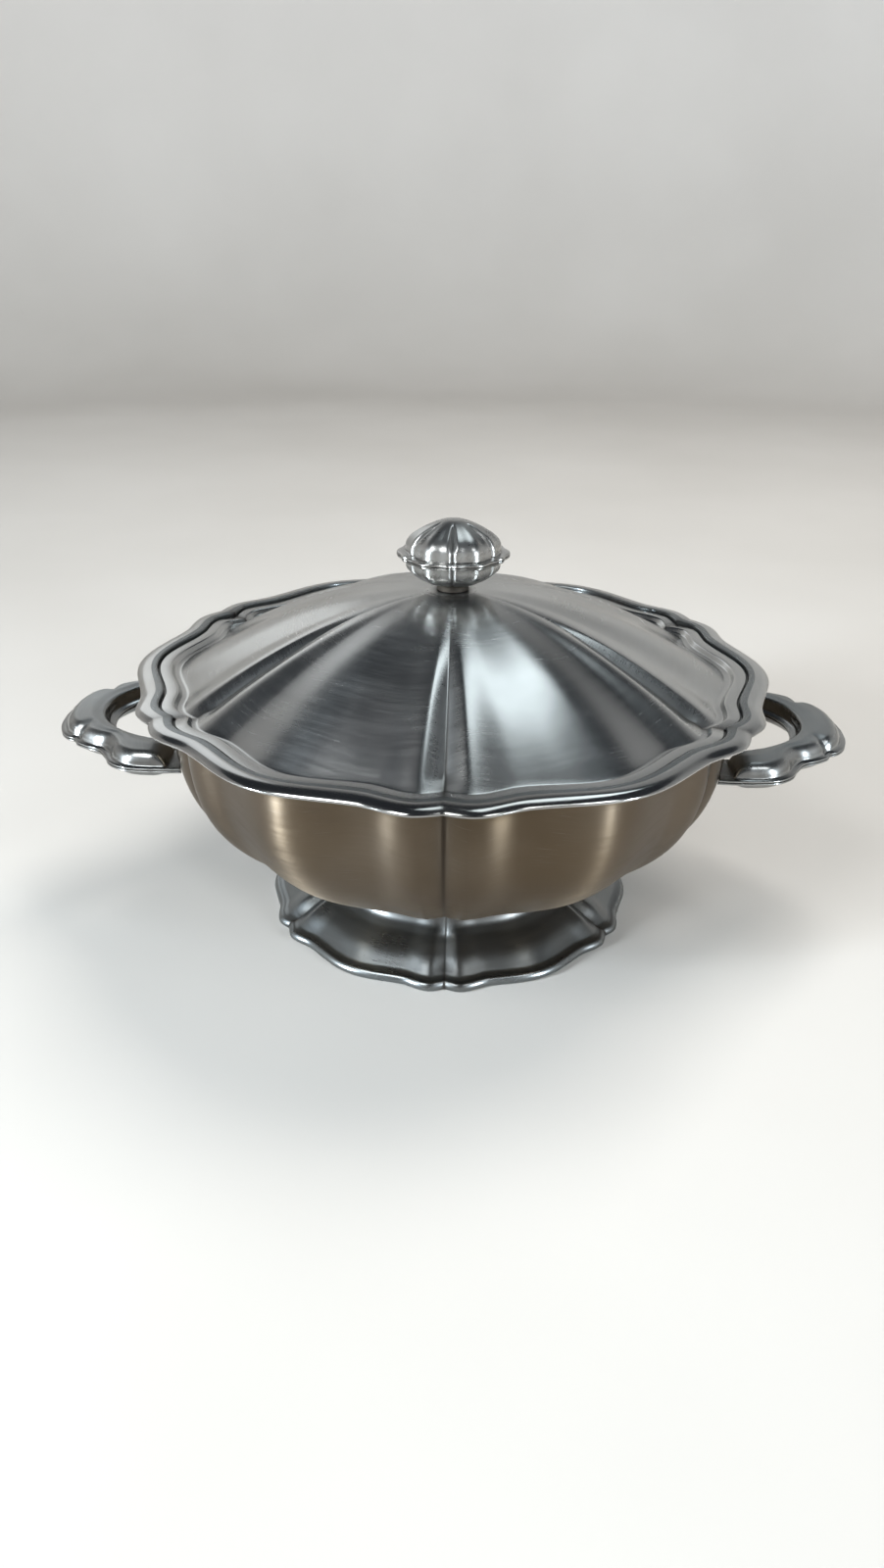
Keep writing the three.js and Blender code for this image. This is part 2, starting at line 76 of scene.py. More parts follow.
# Angles in degrees. Over each lobe the outline has a notch at the flute, a corner beside it, a
# valley, and the lobe's own middle halfway to the next flute.
LOBES = 6
LOBE = 360 / LOBES
HALF_LOBE = LOBE / 2
FIRST_FLUTE = -90
CORNER_ANGLE = 4.5
VALLEY_ANGLE = 13.5
NOTCH_POWER = 1.5
GROOVE_POWER = 1.3

# Outlines: how far the corner and the lobe stand out from the valley, and how deep the notch is.
SEAT_OUTLINE = (3.7, 4.8, 2.9)
RIM_OUTLINE = (3.8, 4.2, 2.1)
FOOT_OUTLINE = (2.6, 2.1, 2.2)
KNOB_OUTLINE = (0.4, 1.2, 1.0)
KNOB_FACE_OUTLINE = (0.0, 1.0, 1.3)
NO_OUTLINE = (0, 0, 0)

SEAT_STEP = 2.4
WALL_DROP = 4.4
LIP_WIDTH = 5.0
SEAT_INSET = 8.6
WALL_INSET = 12.9
RIM_TOP = BOWL_HIGH[2]
SEAT_HEIGHT = RIM_TOP - SEAT_STEP
BOWL_TOP = RIM_TOP - WALL_DROP
BOWL_BOTTOM = BOWL_LOW[2]
LIP_RADIUS = BOWL_HIGH[0] - RIM_OUTLINE[1]
LIP_START = LIP_RADIUS - LIP_WIDTH
SEAT_RADIUS = LIP_RADIUS - SEAT_INSET
BOWL_RADIUS = LIP_RADIUS - WALL_INSET
BOWL_SIDE_POWER = 2.82
BOWL_FLOOR_POWER = 2.26
LOBE_FADE = 2.6
LIP_POLISH = 0.45

GUTTER_DEPTH = 1.4
EDGE_WIDTH = 4.6
DOME_INSET = 9.0
DOME_POWER = 1.75
DOME_LOBE_GROWTH = 1.2
LID_APEX = LID_HIGH[2]
LID_RADIUS = LID_HIGH[0] - SEAT_OUTLINE[1]
LID_EDGE_TOP = SEAT_HEIGHT + GAP + SHEET
LID_FLAT = 10
DOME_RADIUS = LID_RADIUS - DOME_INSET
DOME_FOOT = LID_LOW[2] + GUTTER_DEPTH
FLUTE_START = 38
FLUTE_FULL = 80
FLUTE_DEPTH = 1.6
FLUTE_FADE = 4

SKIRT_WIDTH = 24.8
LAND_WIDTH = 4.0
FOOT_TOP_WIDTH = 9
FOOT_RADIUS = FOOT_HIGH[0] - FOOT_OUTLINE[1]
FOOT_NECK = FOOT_RADIUS - SKIRT_WIDTH
LAND_INNER = FOOT_RADIUS - LAND_WIDTH
FOOT_NECK_SHARE = 0.3
FOOT_SHARE_GROWTH = 0.8
FOOT_FLUTE_START = 1.6
FOOT_FLUTE_GROWTH = 5
FOOT_FLUTE_FADE = 6
FOOT_FLUTE_DEPTH = 1.3
FOOT_RIDGE = 0.4

KNOB_RADIUS = UPPER_HIGH[0] - KNOB_OUTLINE[1]
KNOB_TOP = UPPER_HIGH[2]
KNOB_BASE = LOWER_LOW[2]
KNOB_FACE = 18.0
KNOB_INNER = 17.1
KNOB_PLAIN = 4
KNOB_LOBED = 17
KNOB_FLUTE_START = 4.5
KNOB_FLUTE_GROWTH = 8
KNOB_FLUTE_DEPTH = 1.3
KNOB_FLUTE_HALF_ANGLE = 8
KNOB_FLUTE_FADE = 4
SCREW_HOLE = 2.3

LOOP_SEAM = LOOP_LOW[2]
LOOP_RISE = LOOP_HIGH[2] - LOOP_SEAM
LOOP_TIP = LOOP_HIGH[0]
CUP_SEAM = CUP_HIGH[2]
CUP_DEPTH = CUP_SEAM - CUP_LOW[2]
LOOP_SHEET = 0.8
LOOP_FLANGE = 2.2
LOOP_LEDGE = 2.6
LOOP_SHOULDER = 5.2
LOOP_LIP = 2.0
LOOP_END = 109.5
LOOP_END_ROUND = 7
LOOP_CROWN = 0.4
TIP_WIDTH = 22.1
HOLE_CENTRE = 104
HOLE_REACH = LOOP_TIP - TIP_WIDTH - HOLE_CENTRE
HOLE_HALF = 30.5


# ---- Profiles: rows of radius, height, corner, lobe, notch, polish, painted shade and grime, and rounding ----

def at(radius, height, outline=NO_OUTLINE, weight=1.0, polish=0.0, grime=0.0, rounding=0.0):
    """One point of a profile, with the weighted outline that its ring follows, and the painted shade
    and grime that darken its steel.
    """
    corner, lobe, notch = (weight * value for value in outline)
    return np.array([radius, height, corner, lobe, notch, polish, grime, rounding], float)


def ease(t):
    """Smooth step from 0 at t = 0 to 1 at t = 1."""
    return (1 - np.cos(np.pi * np.clip(t, 0, 1))) / 2


def curve(points, steps=8):
    """Catmull-Rom curve through the points."""
    points = list(points)
    padded = [2 * points[0] - points[1], *points, 2 * points[-1] - points[-2]]
    rows = []
    for a, b, c, d in zip(padded, padded[1:], padded[2:], padded[3:]):
        for t in np.arange(steps) / steps:
            bend = 2 * a - 5 * b + 4 * c - d
            twist = 3 * b - a - 3 * c + d
            rows.append(0.5 * (2 * b + (c - a) * t + bend * t * t + twist * t ** 3))
    rows.append(points[-1])
    for row in rows:
        row[-1] = 0
    return rows


def rounded(path, steps=6):
    """Profile whose points that have a rounding are turned into short arcs, and whether it closes.
    It does if it starts off the axis."""
    closed = path[0][0] > 0
    rows = []
    for i, point in enumerate(path):
        size = point[-1]
        if size == 0 or (not closed and i in (0, len(path) - 1)):
            rows.append(point)
            continue
        before = path[i - 1]
        after = path[(i + 1) % len(path)]
        start = point + (before - point) * min(size / np.hypot(*(before - point)[:2]), 0.48)
        end = point + (after - point) * min(size / np.hypot(*(after - point)[:2]), 0.48)
        for t in np.linspace(0, 1, steps):
            rows.append((1 - t) ** 2 * start + 2 * t * (1 - t) * point + t * t * end)
    return np.array(rows), closed


# ---- Meshes ----

def make_mesh(name, verts, faces, fields=None):
    """Smooth mesh object from millimetres, faces outwards, with fields for its material."""
    mesh = bpy.data.meshes.new(name)
    mesh.from_pydata([tuple(v * MM) for v in verts], [], faces)
    mesh.validate()
    for field, values in (fields or {}).items():
        attribute = mesh.attributes.new(field, "FLOAT", "POINT")
        attribute.data.foreach_set("value", np.asarray(values, np.float32))
    if signed_volume(mesh) < 0:
        mesh.flip_normals()
    mesh.shade_smooth()
    piece = bpy.data.objects.new(name, mesh)
    bpy.context.scene.collection.objects.link(piece)
    return piece


def signed_volume(mesh):
    """Six times the volume inside the mesh, below 0 if its faces point inwards."""
    mesh.calc_loop_triangles()
    co = np.empty(len(mesh.vertices) * 3)
    mesh.vertices.foreach_get("co", co)
    corners = np.empty(len(mesh.loop_triangles) * 3, int)
    mesh.loop_triangles.foreach_get("vertices", corners)
    a, b, c = co.reshape(-1, 3)[corners.reshape(-1, 3)].transpose(1, 0, 2)
    return float(np.sum(a * np.cross(b, c)))


def finish_piece(piece, node, body, material):
    """Gives the piece its steel, says which body it rides on, and hides the node of the frame that
    it stands for.
    """
    piece.data.materials.append(material)
    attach(piece, body)
    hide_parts(node)
    return piece


def finish_bowl(piece, lip, inside):
    """Keeps the first steel on the outer wall, and gives the polished lip and the inside, which
    reaches up to the flat of the rim, their own."""
    mesh = piece.data
    mesh.materials.append(lip)
    mesh.materials.append(inside)
    polish = np.empty(len(mesh.vertices), np.float32)
    mesh.attributes["polish"].data.foreach_get("value", polish)
    for face in mesh.polygons:
        outwards = face.normal.xy.dot(face.center.xy) > 0
        if polish[list(face.vertices)].mean() > LIP_POLISH:
            face.material_index = 1
        elif not outwards or face.center.z > SEAT_HEIGHT * MM:
            face.material_index = 2


def lobe_angles(notch_steps, bulge_steps, lobe_steps):
    """Angles from a flute, over one lobe: closest together where the outline turns most."""
    half = np.concatenate([
        np.linspace(0, CORNER_ANGLE, notch_steps, endpoint=False),
        np.linspace(CORNER_ANGLE, VALLEY_ANGLE, bulge_steps, endpoint=False),
        np.linspace(VALLEY_ANGLE, HALF_LOBE, lobe_steps),
    ])
    return np.concatenate([half, LOBE - half[-2:0:-1]])


def from_flute(angles):
    """Distance in degrees to the nearest flute."""
    return np.minimum(angles % LOBE, LOBE - angles % LOBE)


def outline_shapes(angles):
    """How much of the corner, lobe and notch each angle from a flute has."""
    phi = from_flute(angles)
    lobe = ease((phi - VALLEY_ANGLE) / (HALF_LOBE - VALLEY_ANGLE))
    corner = ease((VALLEY_ANGLE - phi) / (VALLEY_ANGLE - CORNER_ANGLE))
    notch = np.clip(1 - phi / CORNER_ANGLE, 0, 1) ** NOTCH_POWER
    return corner, lobe, notch


def lobed_lathe(name, path, one_lobe, drop=None):
    """Solid of revolution whose columns are pushed out and in by the outline of each point, and
    lowered by the drop, a function of radius, height and angle from the first flute."""
    rows, closed = rounded(path)
    angles = np.concatenate([one_lobe + LOBE * i for i in range(LOBES)])
    corner, lobe, notch = outline_shapes(angles)
    base, level, corner_push, lobe_push, notch_depth, polish, grime, _ = rows.T[..., None]
    on_axis = base[:, 0] < ON_AXIS
    push = corner_push * corner + lobe_push * lobe - notch_depth * notch
    radius = np.where(on_axis[:, None], 0, base + push)
    height = np.repeat(level, len(angles), axis=1)
    if drop:
        height = height - drop(base, height, angles)
    azimuth = np.radians(FIRST_FLUTE + angles)
    grid = np.stack([radius * np.cos(azimuth), radius * np.sin(azimuth), height], axis=2)
    polish = np.repeat(polish, len(angles), axis=1)
    # The crease field is painted shade and grime: darkest down each notch, and wherever a row asks
    # for more.
    deepest = max(notch_depth.max(), ON_AXIS)
    crease_shade_and_grime = np.maximum(np.clip(notch_depth / deepest, 0, 1) * notch, grime)
    return lathe_mesh(name, grid, on_axis, closed, {"polish": polish, "crease_shade_and_grime": crease_shade_and_grime})


def lathe_mesh(name, grid, on_axis, closed, fields):
    """Mesh of a grid of rings; a ring on the axis becomes one vertex."""
    count, columns = grid.shape[:2]
    index = np.zeros((count, columns), int)
    keep = []
    total = 0
    for i in range(count):
        used = 1 if on_axis[i] else columns
        index[i] = total + (np.zeros(columns, int) if on_axis[i] else np.arange(columns))
        keep.append(slice(i * columns, i * columns + used))
        total += used
    pick = np.concatenate([np.arange(s.start, s.stop) for s in keep])
    faces = []
    last = count if closed else count - 1
    for i in range(last):
        low, high = index[i], index[(i + 1) % count]
        for j in range(columns):
            k = (j + 1) % columns
            corners = list(dict.fromkeys((low[j], low[k], high[k], high[j])))
            faces.append([int(c) for c in corners])
    values = {field: value.reshape(-1)[pick] for field, value in fields.items()}
    return make_mesh(name, grid.reshape(-1, 3)[pick], faces, values)


FINE = lobe_angles(notch_steps=9, bulge_steps=12, lobe_steps=14)
KNOB_FINE = lobe_angles(notch_steps=7, bulge_steps=8, lobe_steps=10)


# ---- Bowl and foot ----

def wall_height(radius, inset=0.0):
    """Height of the bowl's wall, in a valley, or of its inner face at an inset."""
    reach = np.clip(radius / (BOWL_RADIUS - inset), 0, 1)
    depth = BOWL_TOP - BOWL_BOTTOM - inset
    return BOWL_TOP - depth * (1 - reach ** BOWL_FLOOR_POWER) ** (1 / BOWL_SIDE_POWER)


def wall_point(radius, height, **looks):
    """The lobes die out towards the floor, but the flutes stay sharp down to the foot."""
    reach = radius / BOWL_RADIUS
    corner, lobe, notch = SEAT_OUTLINE
    faded = (corner * reach ** LOBE_FADE, lobe * reach ** LOBE_FADE, notch * reach)
    return at(radius, height, faded, **looks)


def wall_path(inset, steps=44):
    """The wall from the middle of the floor up to its top."""
    turns = np.radians(np.linspace(0, 90, steps))
    radii = (BOWL_RADIUS - inset) * np.sin(turns) ** (2 / BOWL_FLOOR_POWER)
    return [wall_point(radius, wall_height(radius, inset)) for radius in radii]


def bowl():
    """Lobed wall, a seat for the lid, and a flat rim turned down into a rounded lip."""
    under = RIM_TOP - SHEET
    lip = [
        at(LIP_START - 1.5, RIM_TOP, RIM_OUTLINE, polish=0.2),
        at(LIP_START + 0.4, RIM_TOP - 0.02, RIM_OUTLINE, polish=0.8),
        at(LIP_START + 2.4, RIM_TOP - 0.28, RIM_OUTLINE, polish=1),
        at(LIP_RADIUS - 1.1, RIM_TOP - 0.9, RIM_OUTLINE, polish=1),
        at(LIP_RADIUS - 0.2, RIM_TOP - 1.6, RIM_OUTLINE, polish=1),
        at(LIP_RADIUS, RIM_TOP - 2.1, RIM_OUTLINE, polish=1),
        at(LIP_RADIUS - 0.5, RIM_TOP - 2.7, RIM_OUTLINE, polish=0.8),
        at(LIP_RADIUS - 1.4, RIM_TOP - 2.6, RIM_OUTLINE, polish=0.3),
        at(LIP_RADIUS - 2.4, RIM_TOP - 1.9, RIM_OUTLINE),
        at(LIP_START + 1.2, under, RIM_OUTLINE),
    ]
    path = [
        *wall_path(0),
        at(BOWL_RADIUS + 0.8, SEAT_HEIGHT - SHEET, SEAT_OUTLINE, rounding=0.6),
        at(SEAT_RADIUS + SHEET, SEAT_HEIGHT - SHEET, SEAT_OUTLINE, rounding=0.5),
        at(SEAT_RADIUS + SHEET, under, SEAT_OUTLINE, rounding=0.4),
        *reversed(curve(lip, 5)),
        at(SEAT_RADIUS, RIM_TOP, SEAT_OUTLINE, polish=0.4, rounding=0.7),
        # Painted shade and grime darken the bottom of the seat, in the gap beside the lid's edge.
        at(SEAT_RADIUS, SEAT_HEIGHT, SEAT_OUTLINE, grime=1, rounding=0.4),
        at(BOWL_RADIUS - 0.2, SEAT_HEIGHT, SEAT_OUTLINE, polish=0.3, rounding=0.8),
        *reversed(wall_path(SHEET)),
    ]
    return lobed_lathe("bowl_fine", path, FINE)


def foot_drop(radius, height, angles):
    """Drop of the foot's skirt along its flutes, between ridges that rise a little."""
    phi = from_flute(angles)
    grown = ease((radius - FOOT_NECK - FOOT_FLUTE_START) / FOOT_FLUTE_GROWTH)
    fading = ease((LAND_INNER - radius) / FOOT_FLUTE_FADE)
    groove = np.clip(1 - phi / CORNER_ANGLE, 0, 1) ** GROOVE_POWER
    ridge = ease(phi / CORNER_ANGLE) * ease((VALLEY_ANGLE - phi) / (VALLEY_ANGLE - CORNER_ANGLE))
    return grown * fading * (FOOT_FLUTE_DEPTH * groove - FOOT_RIDGE * ridge)


def foot():
    """Flared skirt with a rolled lip. Its top lies against the underside of the bowl."""
    seat_inner = FOOT_NECK - FOOT_TOP_WIDTH

    def seat(radius, depth, **looks):
        return wall_point(radius, wall_height(radius) - GAP - depth, **looks)

    def skirt(radius, height, **looks):
        spread = (radius - FOOT_NECK) / (FOOT_RADIUS - FOOT_NECK)
        share = float(np.clip(FOOT_NECK_SHARE + FOOT_SHARE_GROWTH * spread, 0, 1))
        return at(radius, height, FOOT_OUTLINE, share, **looks)

    inside = curve([
        seat(FOOT_NECK - 1.0, SHEET),
        skirt(FOOT_NECK + 1.4, 16.4),
        skirt(FOOT_NECK + 4.9, 12.9),
        skirt(FOOT_NECK + 9.5, 10.5),
        skirt(FOOT_NECK + 13.9, 8.0),
        skirt(FOOT_NECK + 18.0, 4.8),
        skirt(LAND_INNER - 0.8, 2.4),
    ])
    outside = curve([
        skirt(FOOT_RADIUS - 2.9, 3.8),
        skirt(FOOT_NECK + 20.4, 4.3),
        skirt(FOOT_NECK + 18.8, 5.5),
        skirt(FOOT_NECK + 14.5, 8.9),
        skirt(FOOT_NECK + 10.0, 11.5),
        # Painted shade darkens the skirt towards the neck, under the bowl, with some grime.
        skirt(FOOT_NECK + 5.5, 13.9, grime=0.3),
        skirt(FOOT_NECK + 2.2, 17.0, grime=0.8),
        seat(FOOT_NECK + 0.4, 0.05, grime=1),
    ])
    lip = curve([
        # Painted shade and grime darken the foot of the lip, where it meets the floor.
        skirt(FOOT_RADIUS - 1.0, 0.0, grime=0.6),
        skirt(FOOT_RADIUS - 0.2, 0.7),
        skirt(FOOT_RADIUS, 1.7, polish=0.2),
        skirt(FOOT_RADIUS - 0.3, 2.7, polish=0.4),
        skirt(FOOT_RADIUS - 1.2, 3.6, polish=0.4),
        skirt(FOOT_RADIUS - 2.2, 3.85, polish=0.2),
    ], 5)
    path = [
        seat(seat_inner, SHEET, rounding=0.3),
        *inside,
        skirt(LAND_INNER, SHEET + 0.8, rounding=0.4),
        skirt(LAND_INNER, 0, rounding=0.5),
        *lip,
        *outside,
        seat(seat_inner, 0, rounding=0.3),
    ]
    return lobed_lathe("foot_fine", path, FINE, foot_drop)


# ---- Lid ----

def dome_height(radius):
    """Height of the lid's dome: flat in the middle, steepest at its foot."""
    reach = np.maximum((radius - LID_FLAT) / (DOME_RADIUS - LID_FLAT), 0)
    return LID_APEX - (LID_APEX - DOME_FOOT) * reach ** DOME_POWER


def flute_drop(radius, height, angles):
    """Extra drop along the lid's flutes: nothing on top, deepest near the foot of the dome."""
    phi = from_flute(angles)
    grown = ease((radius - FLUTE_START) / (FLUTE_FULL - FLUTE_START))
    fading = ease((height - DOME_FOOT) / FLUTE_FADE)
    across = np.clip(1 - phi / CORNER_ANGLE, 0, 1) ** GROOVE_POWER
    return FLUTE_DEPTH * grown * fading * across


def lid():
    """Fluted dome in a gutter, with a flat edge band that lies on the bowl's seat."""
    def dome(offset):
        radii = np.linspace(LID_FLAT, DOME_RADIUS, 56)
        weights = (radii / DOME_RADIUS) ** DOME_LOBE_GROWTH
        return [at(r, dome_height(r) - offset, SEAT_OUTLINE, w) for r, w in zip(radii, weights)]

    # The sheet slopes, so it is a little thicker where it is measured straight down.
    sloping_sheet = SHEET * 1.1
    band = LID_RADIUS - EDGE_WIDTH
    path = [
        # Painted shadow and grime ring the collar under the knob.
        at(SCREW_HOLE, LID_APEX, grime=1, rounding=0.2),
        at(COLLAR_HIGH[0], LID_APEX, grime=1),
        *dome(0),
        at(DOME_RADIUS + 0.9, DOME_FOOT - 0.4, SEAT_OUTLINE, polish=0.3, rounding=0.8),
        at(band - 1.4, DOME_FOOT - 0.2, SEAT_OUTLINE, rounding=0.6),
        at(band, LID_EDGE_TOP, SEAT_OUTLINE, polish=0.6, rounding=0.7),
        at(LID_RADIUS, LID_EDGE_TOP, SEAT_OUTLINE, polish=0.5, rounding=0.35),
        # Painted shade and grime darken the edge band's underside, in the gap on the seat.
        at(LID_RADIUS, LID_EDGE_TOP - SHEET, SEAT_OUTLINE, grime=1, rounding=0.2),
        at(band, LID_EDGE_TOP - SHEET, SEAT_OUTLINE, rounding=0.5),
        at(band - 1.0, DOME_FOOT - 1.2, SEAT_OUTLINE, rounding=0.6),
        at(DOME_RADIUS + 0.2, DOME_FOOT - GUTTER_DEPTH, SEAT_OUTLINE, rounding=0.8),
        *reversed(dome(sloping_sheet)),
        at(SCREW_HOLE, LID_APEX - sloping_sheet, rounding=0.2),
    ]
    return lobed_lathe("lid_fine", path, FINE, flute_drop)


# ---- Knob and its fixing ----

def face_point(radius, height, **looks):
    """Point of the knob's faces: plain at the top and at the base, fluted towards the seam."""
    weight = float(ease((radius - KNOB_PLAIN) / (KNOB_LOBED - KNOB_PLAIN)))
    return at(radius, height, KNOB_FACE_OUTLINE, weight, **looks)


def knob_drop(radius, height, angles):
    """Drop of the knob's upper face along its leaf-shaped flutes."""
    phi = from_flute(angles)
    grown = ease((radius - KNOB_FLUTE_START) / KNOB_FLUTE_GROWTH)
    fading = ease((height - LOWER_HIGH[2]) / KNOB_FLUTE_FADE - 1)
    across = ease(1 - phi / KNOB_FLUTE_HALF_ANGLE)
    return KNOB_FLUTE_DEPTH * grown * fading * across


def seam_flange(seam, direction):
    """Thin flange round a shell's edge, out to the seam where the two shells meet."""
    # Painted shade and grime darken the flange along the seam.
    return [
        face_point(KNOB_FACE, seam + direction, polish=1, grime=0.7, rounding=0.4),
        at(KNOB_RADIUS - 0.3, seam + 0.95 * direction, KNOB_OUTLINE, polish=1, rounding=0.45),
        at(KNOB_RADIUS, seam, KNOB_OUTLINE, polish=1, grime=0.6, rounding=0.3),
    ]


def knob_upper():
    """Low fluted dome over the seam."""
    seam = UPPER_LOW[2]
    outside = curve([
        at(0, KNOB_TOP),
        face_point(3.3, KNOB_TOP - 0.3),
        face_point(6.5, KNOB_TOP - 1.2),
        face_point(10, KNOB_TOP - 2.7),
        face_point(13.7, KNOB_TOP - 4.8),
        face_point(16.1, KNOB_TOP - 6.8),
        face_point(17.5, KNOB_TOP - 9.0),
        face_point(17.9, seam + 1.9),
    ], 7)
    inside = curve([
        face_point(17.0, seam + 1.0),
        face_point(16.4, KNOB_TOP - 9.4),
        face_point(15.1, KNOB_TOP - 7.5),
        face_point(13.0, KNOB_TOP - 5.8),
        face_point(9.5, KNOB_TOP - 3.7),
        face_point(6.2, KNOB_TOP - 2.2),
        at(0, KNOB_TOP - 1.1),
    ], 5)
    path = [*outside, *seam_flange(seam, 1), face_point(KNOB_INNER, seam, rounding=0.2), *inside]
    return lobed_lathe("knob_upper_fine", path, KNOB_FINE, knob_drop)


def knob_lower():
    """Plainer cup under the seam, with the screw's hole in its floor."""
    seam = LOWER_HIGH[2]
    outside = curve([
        # Painted shade and grime darken the cup towards the collar, under the knob.
        face_point(8.6, KNOB_BASE, grime=1),
        face_point(11.6, KNOB_BASE + 0.6, grime=0.7),
        face_point(14.4, KNOB_BASE + 1.9, grime=0.3),
        face_point(17.3, KNOB_BASE + 4.6),
        face_point(17.9, seam - 2.0),
    ], 6)
    inside = curve([
        face_point(17.0, seam - 1.2),
        face_point(16.3, KNOB_BASE + 5.0),
        face_point(13.8, KNOB_BASE + 2.9),
        face_point(8.6, KNOB_BASE + SHEET),
    ], 6)
    path = [
        # Painted shade and grime round the screw's hole.
        at(SCREW_HOLE, KNOB_BASE, grime=1, rounding=0.2),
        *outside,
        *seam_flange(seam, -1),
        face_point(KNOB_INNER, seam, rounding=0.2),
        *inside,
        at(SCREW_HOLE, KNOB_BASE + SHEET, rounding=0.2),
    ]
    return lobed_lathe("knob_lower_fine", path, KNOB_FINE)


def turned(name, path, columns=96):
    """Plain round piece."""
    rows, closed = rounded(path)
    azimuth = np.linspace(0, 2 * np.pi, columns, endpoint=False)
    radius, height, _, _, _, polish, grime, _ = (
        np.repeat(column[:, None], columns, axis=1) for column in rows.T)
    grid = np.stack([radius * np.cos(azimuth), radius * np.sin(azimuth), height], axis=2)
    on_axis = rows[:, 0] < ON_AXIS
    # The crease field carries the rows' painted shade and grime.
    return lathe_mesh(name, grid, on_axis, closed, {"polish": polish, "crease_shade_and_grime": grime})


def knob_collar():
    """Short waisted neck between the lid and the knob."""
    low, high, radius = COLLAR_LOW[2], COLLAR_HIGH[2], COLLAR_HIGH[0]
    # Painted shade: the collar's steel is near black and darkened all over, standing for the shadow
    # under the knob.
    return turned("knob_collar_fine", [
        at(SCREW_HOLE, low, grime=1, rounding=0.2),
        at(radius, low, grime=1, rounding=0.3),
        at(radius - 0.6, (low + high) / 2, grime=0.8, rounding=0.6),
        at(radius, high, grime=1, rounding=0.3),
        at(SCREW_HOLE, high, grime=1, rounding=0.2),
    ])


def knob_washer():
    """Flat washer under the lid."""
    low, high, radius = WASHER_LOW[2], WASHER_HIGH[2], WASHER_HIGH[0]
    return turned("knob_washer_fine", [
        at(SCREW_HOLE, low, rounding=0.2),
        at(radius, low, rounding=0.3),
        at(radius, high, rounding=0.2),
        at(SCREW_HOLE, high, rounding=0.2),
    ])


def cut(piece, cutter):
    """Takes the cutter's shape out of the piece and drops the cutter."""
    step = piece.modifiers.new("cut", "BOOLEAN")
    step.operation = "DIFFERENCE"
    step.solver = "EXACT"
    step.object = cutter
    apply_modifiers(piece)
    bpy.data.objects.remove(cutter)


def apply_modifiers(piece):
    """Makes the result of the modifiers the piece's own mesh."""
    evaluated = piece.evaluated_get(bpy.context.evaluated_depsgraph_get())
    final = bpy.data.meshes.new_from_object(evaluated)
    piece.modifiers.clear()
    piece.data = final


def block(low, high):
    """Plain block, used only to cut with."""
    x, y, z = zip(low, high)
    verts = [np.array([x[i], y[j], z[k]], float) for i in (0, 1) for j in (0, 1) for k in (0, 1)]
    faces = [(0, 1, 3, 2), (4, 6, 7, 5), (0, 4, 5, 1), (2, 3, 7, 6), (0, 2, 6, 4), (1, 5, 7, 3)]
    return make_mesh("cutter", verts, faces)


def knob_screw():
    """Screw with a slotted round head, and rings in place of its thread."""
    head_radius = SCREW_HIGH[1]
    head_height = 2.4
    slot_half = 0.5
    slot_depth = 1.2
    shank = 2.0
    pitch = 0.8
    thread_depth = 0.35
    plain_start = 1.0
    plain_length = 1.5
    low = SCREW_LOW[2]
    head_top = low + head_height
    tip = SCREW_HIGH[2]
    thread = []
    for i in range(int((tip - head_top - plain_length) / pitch)):
        height = head_top + plain_start + i * pitch
        thread.append(at(shank, height))
        thread.append(at(shank - thread_depth, height + pitch / 2))
    piece = turned("knob_screw_fine", [
        at(0, low),
        at(head_radius - 1.6, low, rounding=0.6),
        at(head_radius, low + 1.1, rounding=0.9),
        at(head_radius, head_top, rounding=0.15),
        at(shank, head_top, rounding=0.2),
        *thread,
        at(shank - 0.5, tip, rounding=0.1),
        at(0, tip),
    ])
    beyond = 1
    slot_low = (-head_radius - beyond, -slot_half, low - beyond)
    slot_high = (head_radius + beyond, slot_half, low + slot_depth)
    cut(piece, block(slot_low, slot_high))
    piece.data.shade_flat()
    return piece


def knob_nut():
    """Hexagon nut with chamfered corners, inside the knob."""
    low, high = NUT_LOW[2], NUT_HIGH[2]
    outer = NUT_HIGH[1]
    side = np.pi / 3
    corners = np.radians(np.arange(6) * 60 + 30)
    ring = np.concatenate([np.linspace(a, a + side, 8, endpoint=False) for a in corners])
    from_middle = (ring - corners[0]) % side - side / 2
    hexagon = outer * math.cos(side / 2) / np.cos(from_middle)
    chamfer = 0.35
    levels = [(SCREW_HOLE, low), (None, low), (None, high), (SCREW_HOLE, high)]
    rows = []
    for radius, height in levels:
        if radius:
            rows.append((np.full(len(ring), radius), height))
            continue
        inward = 1 if height == low else -1
        reach = [np.minimum(hexagon, outer - chamfer), hexagon]
        steps = [(reach[0], height), (reach[1], height + inward * chamfer)]
        rows.extend(steps if inward > 0 else reversed(steps))
    rings = [np.stack([r * np.cos(ring), r * np.sin(ring), r * 0 + z], axis=1) for r, z in rows]
    grid = np.stack(rings)
    on_axis = np.zeros(len(rows), bool)
    plain = np.zeros(grid.shape[:2])
    return lathe_mesh("knob_nut_fine", grid, on_axis, True, {"polish": plain, "crease_shade_and_grime": plain})


# ---- Handles ----

# Half of the loop's outer edge in plan, from the tip to the root: a tip lobe, a groove, a second
# lobe, a hollow shoulder and the root lobe.
LOOP_OUTER = [
    (LOOP_TIP, 0), (LOOP_TIP - 0.9, 9), (LOOP_TIP - 3.5, 16.5), (LOOP_TIP - 7.1, 21),
    (LOOP_TIP - 10.7, 23), (LOOP_TIP - 12.9, 26.4), (LOOP_TIP - 18, 29.8), (LOOP_TIP - 23.5, 32.6),
    (LOOP_TIP - 27.5, 37.8), (LOOP_TIP - 31, 43.8), (LOOP_TIP - 37.5, 48.2), (LOOP_TIP - 45.5, 49.4),
    (LOOP_TIP - 50, 49.4), (LOOP_TIP - 54, 49.4), (LOOP_TIP - 64.5, 49),
]
GROOVE_START = np.array([LOOP_TIP - 18.5, 15.5])
GROOVE_END = np.array([LOOP_TIP - 10.2, 23.4])
GROOVE_WIDTH = 1.8
